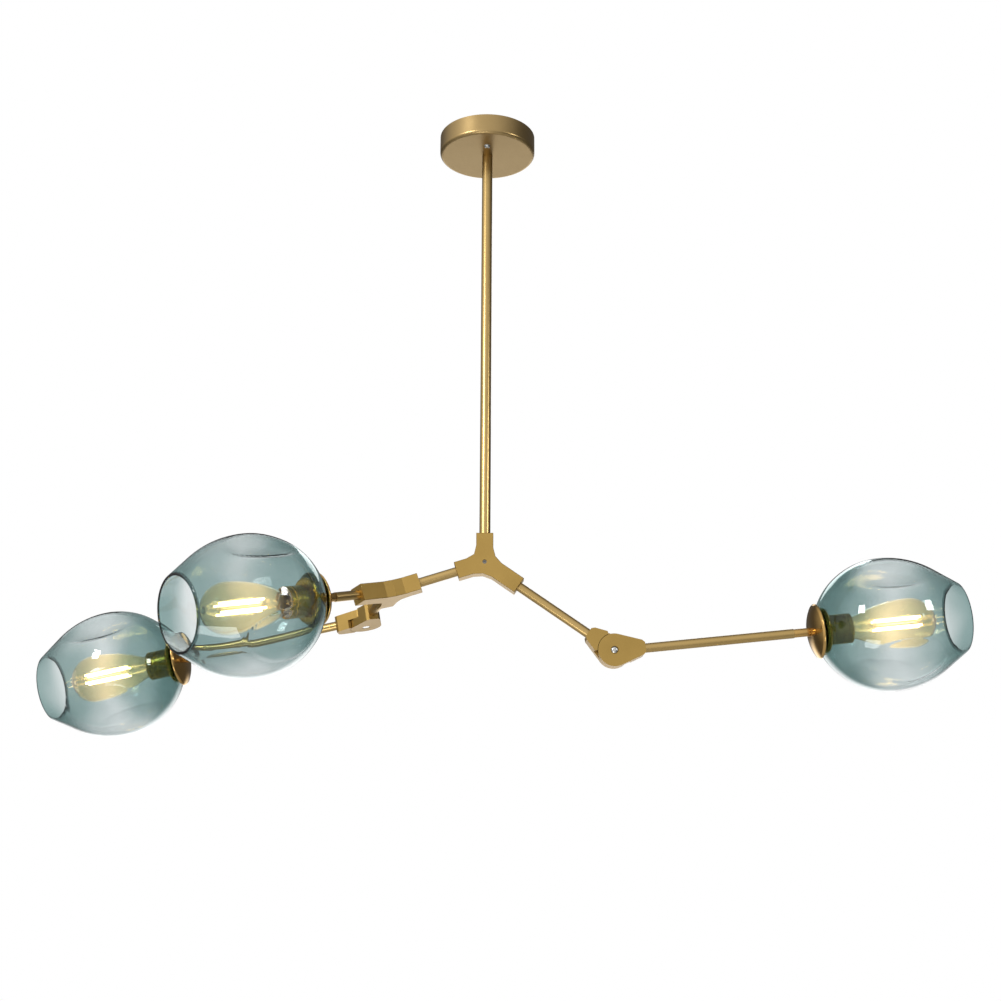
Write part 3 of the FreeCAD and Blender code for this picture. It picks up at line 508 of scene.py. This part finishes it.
def eased(tree, source, start, end):
    """A soft step from 0 at start to 1 at end; either may be a socket of another node."""
    step = tree.nodes.new("ShaderNodeMapRange")
    step.interpolation_type = "SMOOTHSTEP"
    wire(tree, source, "Value", step, "Value")
    for label, value in (("From Min", start), ("From Max", end)):
        if isinstance(value, tuple):
            wire(tree, *value, step, label)
        else:
            step.inputs[label].default_value = value
    return step


# Painted shade masks: the colour turns darker towards the seat and towards the mouth.
seat_shade = eased(edge_shading, level, (entry, "Seat End"), (entry, "Seat Start"))
mouth_shade = eased(edge_shading, level, (entry, "Mouth Start"), (entry, "Mouth End"))
painted_shade = math_node(edge_shading, "MAXIMUM", (seat_shade, "Result"), (mouth_shade, "Result"))
tone = edge_shading.nodes.new("ShaderNodeMix")
tone.data_type = "RGBA"
wire(edge_shading, painted_shade, "Value", tone, "Factor")
edge_shading.links.new(entry.outputs["Clear"], tone.inputs[6])
edge_shading.links.new(entry.outputs["Deep"], tone.inputs[7])
# Painted shade at the lip: a near-black band round the mouth.
height = math_node(edge_shading, "ADD", (apart, "Z"), 0.0)
lip_shade_mask = eased(edge_shading, height, (entry, "Lip Start"), (entry, "Lip End"))
lip_shaded = edge_shading.nodes.new("ShaderNodeMix")
lip_shaded.data_type = "RGBA"
wire(edge_shading, lip_shade_mask, "Result", lip_shaded, "Factor")
edge_shading.links.new(tone.outputs[2], lip_shaded.inputs[6])
edge_shading.links.new(entry.outputs["Lip"], lip_shaded.inputs[7])
edge_shading.links.new(lip_shaded.outputs[2], leave.inputs["Colour"])
wire(edge_shading, ripple, "Fac", leave, "Height")

smoke_glass, tree, shader = new_material(
    "smoke_glass", Roughness=0.0, IOR=1.47, Transmission_Weight=1.0, Metallic=0.0)
absorb = tree.nodes.new("ShaderNodeVolumeAbsorption")
absorb.inputs["Color"].default_value = (0.03, 0.25, 0.25, 1)
absorb.inputs["Density"].default_value = 82.0
wire(tree, absorb, "Volume", tree.nodes["Material Output"], "Volume")
# The painted shade: grey teal at the seat and the mouth, near black at the lip. The smoke tint
# itself comes from the absorption above.
painted_shade = tree.nodes.new("ShaderNodeGroup")
painted_shade.node_tree = edge_shading
painted_shade.inputs["Deep"].default_value = (0.36, 0.49, 0.48, 1)
painted_shade.inputs["Lip"].default_value = (0.04, 0.08, 0.08, 1)
painted_shade.inputs["Seat Start"].default_value = 0.028
painted_shade.inputs["Seat End"].default_value = 0.072
painted_shade.inputs["Mouth Start"].default_value = 0.105
painted_shade.inputs["Mouth End"].default_value = 0.160
painted_shade.inputs["Lip Start"].default_value = (mouth_height - 1.6) * MM
painted_shade.inputs["Lip End"].default_value = (mouth_height - 0.6) * MM
wire(tree, painted_shade, "Colour", shader, "Base Color")
add_bump(tree, shader, painted_shade, "Height", 0.0006)

bowl = bowl_mesh("blown_bowl")
for side in heads:
    place_on_head("blown_bowl", bowl.copy(), side, smoke_glass, "smoke_glass", "shade")

# ---------------------------------------------------------------- glass washers, sockets
# A soft washer seats the glass on the cap; a turned ring screws down on the socket's shell
# and clamps it. Ring and shell are antique bronze, dark olive where they are not rubbed.
washer_rubber = sprayed_metal(
    "washer_rubber", (0.02, 0.02, 0.02), (0.05, 0.05, 0.05), 0.7, 0.1, 0.00002, Metallic=0.0)
antique_bronze = turned_metal(
    "antique_bronze", (0.27, 0.165, 0.020), (0.62, 0.395, 0.075),
    0.24, 0.10, 0.00001, Metallic=1.0)
socket_ceramic = sprayed_metal(
    "socket_ceramic", (0.78, 0.76, 0.72), (0.88, 0.86, 0.82), 0.35, 0.1, 0.00002, Metallic=0.0)

ring_foot, ring_radius, ring_height = 3.5, 26.0, 7.0
shell_radius, shell_height, shell_wall, shell_floor = 17.5, 38.0, 1.2, 2.0
shell_fit, shell_lip = 0.05, 0.8
ring_outline = [
    (shell_radius + shell_fit, ring_foot),
    *arc((ring_radius - ring_height / 2, ring_foot + ring_height / 2),
         ring_height / 2, -90, 90, 16),
    (shell_radius + shell_fit, ring_foot + ring_height),
]
shell_outline = [
    (cap_bore, 0.0), (shell_radius, 0.0),
    (shell_radius, shell_height - 7.0),
    (shell_radius - 0.5, shell_height - 6.4), (shell_radius - 0.5, shell_height - 5.6),
    (shell_radius, shell_height - 5.0),
    (shell_radius, shell_height - shell_lip),
    *arc((shell_radius - shell_wall / 2, shell_height - shell_wall / 2), shell_wall / 2, 0, 180, 8),
    (shell_radius - shell_wall, shell_floor), (cap_bore, shell_floor),
]
for side in heads:
    dress(washer_rubber, side + "_shade_gasket")
    dress(socket_ceramic, side + "_socket_insert")
    place_on_head("clamp_ring", turned(side + "_clamp_ring", ring_outline), side,
                  antique_bronze, "dark_bronze", "shade_ring")
    place_on_head("bronze_shell", turned(side + "_bronze_shell", shell_outline), side,
                  antique_bronze, "dark_bronze", "socket_shell")

# ---------------------------------------------------------------- filament bulbs
# A pear of thin straw-coloured glass sealed at a small tip, cemented in a nickelled cap.
# Inside it a pressed glass stalk holds a mast and hooks of fine wire for four glowing rods.
nickel_cap = turned_metal(
    "nickel_cap", (0.62, 0.60, 0.56), (0.80, 0.78, 0.74), 0.22, 0.12, 0.00002, Metallic=1.0)
# The glow of the rods lights the belly of the bulb and fades towards its neck and tip.
glow, entry, leave = effect_group(
    "glow_on_glass",
    [("Glow", COLOUR, (1, 1, 1, 1)),
     ("Neck", NUMBER, 0.04), ("Belly", NUMBER, 0.08), ("Tip", NUMBER, 0.14)],
    [("Light", COLOUR), ("Height", NUMBER)],
)
where = glow.nodes.new("ShaderNodeTexCoord")
apart = glow.nodes.new("ShaderNodeSeparateXYZ")
wire(glow, where, "Object", apart, "Vector")
level = math_node(glow, "ADD", (apart, "Z"), 0.0)
rise = eased(glow, level, (entry, "Neck"), (entry, "Belly"))
fall = eased(glow, level, (entry, "Tip"), (entry, "Belly"))
lit = math_node(glow, "MULTIPLY", (rise, "Result"), (fall, "Result"))
tone = glow.nodes.new("ShaderNodeMix")
tone.data_type = "RGBA"
wire(glow, lit, "Value", tone, "Factor")
tone.inputs[6].default_value = (0, 0, 0, 1)
glow.links.new(entry.outputs["Glow"], tone.inputs[7])
glow.links.new(tone.outputs[2], leave.inputs["Light"])
ripple = glow.nodes.new("ShaderNodeTexNoise")
ripple.inputs["Scale"].default_value = 40.0
wire(glow, where, "Object", ripple, "Vector")
wire(glow, ripple, "Fac", leave, "Height")

straw_glass, tree, shader = new_material(
    "straw_glass", Roughness=0.0, IOR=1.45, Transmission_Weight=1.0, Metallic=0.0,
    Base_Color=(0.94, 0.85, 0.66, 1.0), Emission_Strength=0.18)
glowing = tree.nodes.new("ShaderNodeGroup")
glowing.node_tree = glow
glowing.inputs["Glow"].default_value = (1.0, 0.76, 0.42, 1)
wire(tree, glowing, "Light", shader, "Emission Color")
add_bump(tree, shader, glowing, "Height", 0.0002)

bulb_foot = 10.0
bulb_radius, bulb_neck, bulb_side, bulb_belly, bulb_wall = 28.5, 14.5, 150.0, 100.0, 0.8
bulb_root_radius, bulb_root_foot, bulb_root_top = 12.45, 13.5, 27.6
tip_radius, tip_blend = 3.0, 1.6


def bulb_profile(inset):
    """The pear from its neck to its sealed tip, inset by the wall where it is the inside."""
    side, radius, neck = bulb_side - inset, bulb_radius - inset, bulb_neck - inset
    drop = math.sqrt(side ** 2 - (side - radius + neck) ** 2)
    pear = []
    for step in range(33):
        height = bulb_belly - drop * (1 - step / 32)
        pear.append((radius - side + math.sqrt(side ** 2 - (bulb_belly - height) ** 2), height))
    crown = 32 if inset == 0 else 24
    for step in range(1, crown + 1):
        angle = math.pi / 2 * step / crown
        across, height = radius * math.cos(angle), bulb_belly + radius * math.sin(angle)
        if inset == 0 and across < tip_radius + tip_blend:
            tip_foot = bulb_belly + math.sqrt(bulb_radius ** 2 - tip_radius ** 2)
            bead = tip_foot + math.sqrt(max(tip_radius ** 2 - across ** 2, 0))
            height = max(height, bead)
        pear.append((across, height))
    return pear


glowing_rod, tree, shader = new_material(
    "glowing_rod", Base_Color=(0.9, 0.7, 0.3, 1), Roughness=0.6, Emission_Strength=16.0)
phosphor = tree.nodes.new("ShaderNodeTexNoise")
phosphor.inputs["Scale"].default_value = 500.0
where = tree.nodes.new("ShaderNodeTexCoord")
wire(tree, where, "Object", phosphor, "Vector")
coat = tree.nodes.new("ShaderNodeMix")
coat.data_type = "RGBA"
wire(tree, phosphor, "Fac", coat, "Factor")
coat.inputs[6].default_value = (1.0, 0.66, 0.27, 1)
coat.inputs[7].default_value = (1.0, 0.80, 0.44, 1)
tree.links.new(coat.outputs[2], shader.inputs["Emission Color"])

stalk_glass, tree, shader = new_material(
    "stalk_glass", Roughness=0.02, IOR=1.5, Transmission_Weight=1.0, Metallic=0.0,
    Base_Color=(0.98, 0.97, 0.94, 1))
where = tree.nodes.new("ShaderNodeTexCoord")
pinch = tree.nodes.new("ShaderNodeTexNoise")
pinch.inputs["Scale"].default_value = 150.0
wire(tree, where, "Object", pinch, "Vector")
add_bump(tree, shader, pinch, "Fac", 0.0008)
fine_wire = sprayed_metal(
    "fine_wire", (0.62, 0.58, 0.50), (0.80, 0.76, 0.68),
    0.25, 0.10, 0.00001, drift_scale=400.0, Metallic=1.0)

rod_radius, rod_length, rod_circle, rod_count, rod_low = 1.3, 56.0, 7.0, 4, 55.3
stalk_radius, mast_radius, hook_radius, stalk_foot, stalk_flare = 2.6, 0.9, 0.5, 13.5, 11.6


def round_bar(shape, radius, start, end, steps=16):
    """A round bar with softened ends, added to a bmesh between two points in millimetres."""
    start, end = Vector(start), Vector(end)
    ahead = (end - start).normalized()
    sideways = ahead.orthogonal().normalized()
    across = ahead.cross(sideways)
    ease = radius * 0.35
    stations = [(start, radius - ease), (start + ahead * ease, radius),
                (end - ahead * ease, radius), (end, radius - ease)]
    rings = [[shape.verts.new((centre + (sideways * math.cos(turn) + across * math.sin(turn))
                               * reach) * MM)
              for turn in (2 * math.pi * step / steps for step in range(steps))]
             for centre, reach in stations]
    for lower, upper in zip(rings, rings[1:]):
        for step in range(steps):
            after = (step + 1) % steps
            shape.faces.new([lower[step], lower[after], upper[after], upper[step]])
    shape.faces.new(list(reversed(rings[0])))
    shape.faces.new(rings[-1])


rods, wires = bmesh.new(), bmesh.new()
low, high = rod_low + bulb_foot, rod_low + rod_length + bulb_foot
round_bar(wires, mast_radius, (0, 0, low - rod_radius), (0, 0, high + rod_radius))
for count in range(rod_count):
    turn = 2 * math.pi * (count + 0.5) / rod_count
    x, y = rod_circle * math.cos(turn), rod_circle * math.sin(turn)
    round_bar(rods, rod_radius, (x, y, low), (x, y, high))
    for hook in (low + stalk_radius, high - stalk_radius):
        round_bar(wires, hook_radius, (0, 0, hook), (x, y, hook), 8)
rod_mesh = finish_mesh("glowing_rods", rods)
wire_mesh = finish_mesh("filament_wires", wires)
stalk_outline = [
    (0.0, stalk_foot), (stalk_flare, stalk_foot), (stalk_flare, stalk_foot + rod_radius),
    *[(stalk_radius + (stalk_flare - stalk_radius) * (1 - step / 12) ** 2.2,
       stalk_foot + rod_radius + (27.0 - stalk_foot - rod_radius) * step / 12)
      for step in range(1, 13)],
    (stalk_radius, rod_low - stalk_radius * 2.4), (stalk_radius * 1.15, rod_low - stalk_radius * 2),
    (stalk_radius * 1.15, rod_low - stalk_radius * 1.4),
    (stalk_radius * 0.8, rod_low - stalk_radius * 0.9),
    (mast_radius + 0.3, rod_low - 0.4), (0.0, rod_low - 0.2),
]
stalk_outline = [(r, h + bulb_foot) for r, h in stalk_outline]

for side in heads:
    outside, inside = bulb_profile(0), bulb_profile(bulb_wall)
    root = [(bulb_root_radius, bulb_root_foot), (bulb_root_radius, bulb_root_top)]
    root_in = [(bulb_root_radius - bulb_wall, bulb_root_top),
               (bulb_root_radius - bulb_wall, bulb_root_foot)]
    outline = root + outside + list(reversed(inside)) + root_in
    outline = [(max(r, 0.0), h + bulb_foot) for r, h in outline]
    mesh = turned(side + "_pear", outline, 96, 60.0)
    place_on_head("pear", mesh, side, straw_glass, "amber_glass", "bulb_glass")
    dress(nickel_cap, side + "_bulb_screw_cap")
    place_on_head("glowing_rods", rod_mesh.copy(), side, glowing_rod, "filament",
                  "bulb_filaments")
    place_on_head("filament_wires", wire_mesh.copy(), side, fine_wire, "nickel")
    place_on_head("glass_stalk", turned(side + "_glass_stalk", stalk_outline, 48), side,
                  stalk_glass, "filament")

# ---------------------------------------------------------------- studio
# Plain soft light on a pale floor well below the light; the room behind is white, and the
# floor fades out into it, so that it has no hard edge or corner.
floor_level, floor_reach = -2.4, 4.0
solid_within, gone_by = 1.0, floor_reach - 0.1
floor_mesh = bpy.data.meshes.new("floor")
floor_mesh.from_pydata(
    [(-floor_reach, -floor_reach, 0), (floor_reach, -floor_reach, 0),
     (floor_reach, floor_reach, 0), (-floor_reach, floor_reach, 0)],
    [], [(0, 1, 2, 3)])
floor = bpy.data.objects.new("floor", floor_mesh)
bpy.context.scene.collection.objects.link(floor)
floor.location = (0, 0, floor_level)
floor_paint, tree, shader = new_material(
    "floor_paint", Roughness=0.9, Base_Color=(0.9, 0.9, 0.9, 1))
where = tree.nodes.new("ShaderNodeTexCoord")
outward = tree.nodes.new("ShaderNodeVectorMath")
outward.operation = "LENGTH"
wire(tree, where, "Object", outward, 0)
fading = eased(tree, outward, gone_by, solid_within)
wire(tree, fading, "Result", shader, "Alpha")
floor_mesh.materials.append(floor_paint)


def soft_lamp(name, place, aim, size, power):
    data = bpy.data.lights.new(name, "AREA")
    data.shape = "RECTANGLE"
    data.size, data.size_y = size
    data.energy = power
    lamp = bpy.data.objects.new(name, data)
    bpy.context.scene.collection.objects.link(lamp)
    lamp.location = place
    lamp.rotation_euler = (Vector(aim) - Vector(place)).to_track_quat("-Z", "Y").to_euler()
    lamp.visible_camera = False
    return lamp


soft_lamp("key_lamp", (-1.3, -1.5, 0.25), (0, 0, -0.45), (0.40, 0.55), 20.0)
soft_lamp("fill_lamp", (1.7, -1.0, 0.0), (0, 0, -0.5), (0.30, 0.45), 7.0)
soft_lamp("low_lamp", (-0.3, -0.9, -1.6), (-0.1, 0, -0.6), (0.60, 0.40), 4.0)
soft_lamp("back_lamp", (0.3, 1.6, 0.4), (0, 0, -0.5), (1.0, 0.5), 3.0)

world = bpy.data.worlds.new("studio")
bpy.context.scene.world = world
world.use_nodes = True
tree = world.node_tree
sky = tree.nodes["Background"]
sky.inputs["Color"].default_value = (1, 1, 1, 1)
rays = tree.nodes.new("ShaderNodeLightPath")
where = tree.nodes.new("ShaderNodeTexCoord")
apart = tree.nodes.new("ShaderNodeSeparateXYZ")
wire(tree, where, "Generated", apart, "Vector")
# What metal and glass mirror: a room that is light in front and to the left, dark elsewhere.
ahead = math_node(tree, "MULTIPLY_ADD", (apart, "X"), -0.45, 0.0)
nearness = math_node(tree, "MULTIPLY_ADD", (apart, "Y"), -0.80, (ahead, "Value"))
tilted = math_node(tree, "MULTIPLY_ADD", (apart, "Z"), 0.35, (nearness, "Value"))
frontal = eased(tree, tilted, -0.25, 0.95)
room_light = math_node(tree, "MULTIPLY_ADD", (frontal, "Result"), 0.95, 0.12)
backward = math_node(tree, "ADD", (apart, "Y"), 0.0)
behind = eased(tree, backward, 0.80, 0.97)
upward = math_node(tree, "ADD", (apart, "Z"), 0.0)
under_ceiling = eased(tree, upward, 0.10, -0.15)
wall = math_node(tree, "MULTIPLY", (behind, "Result"), (under_ceiling, "Result"))
mirrored = math_node(tree, "MULTIPLY_ADD", (wall, "Value"), 2.0, (room_light, "Value"))
# What shows through glass: white at eye level, grey high up and low down.
steep = math_node(tree, "ABSOLUTE", (apart, "Z"))
level = eased(tree, steep, 0.98, 0.50)
through = math_node(tree, "MULTIPLY_ADD", (level, "Result"), 0.62, 0.38)
room = tree.nodes.new("ShaderNodeMix")
room.data_type = "FLOAT"
wire(tree, rays, "Is Transmission Ray", room, "Factor")
tree.links.new(mirrored.outputs[0], room.inputs[2])
tree.links.new(through.outputs[0], room.inputs[3])
backdrop = tree.nodes.new("ShaderNodeMix")
backdrop.data_type = "FLOAT"
wire(tree, rays, "Is Camera Ray", backdrop, "Factor")
tree.links.new(room.outputs[0], backdrop.inputs[2])
backdrop.inputs[3].default_value = 1.0
tree.links.new(backdrop.outputs[0], sky.inputs["Strength"])
bpy.context.scene.view_settings.view_transform = "Standard"
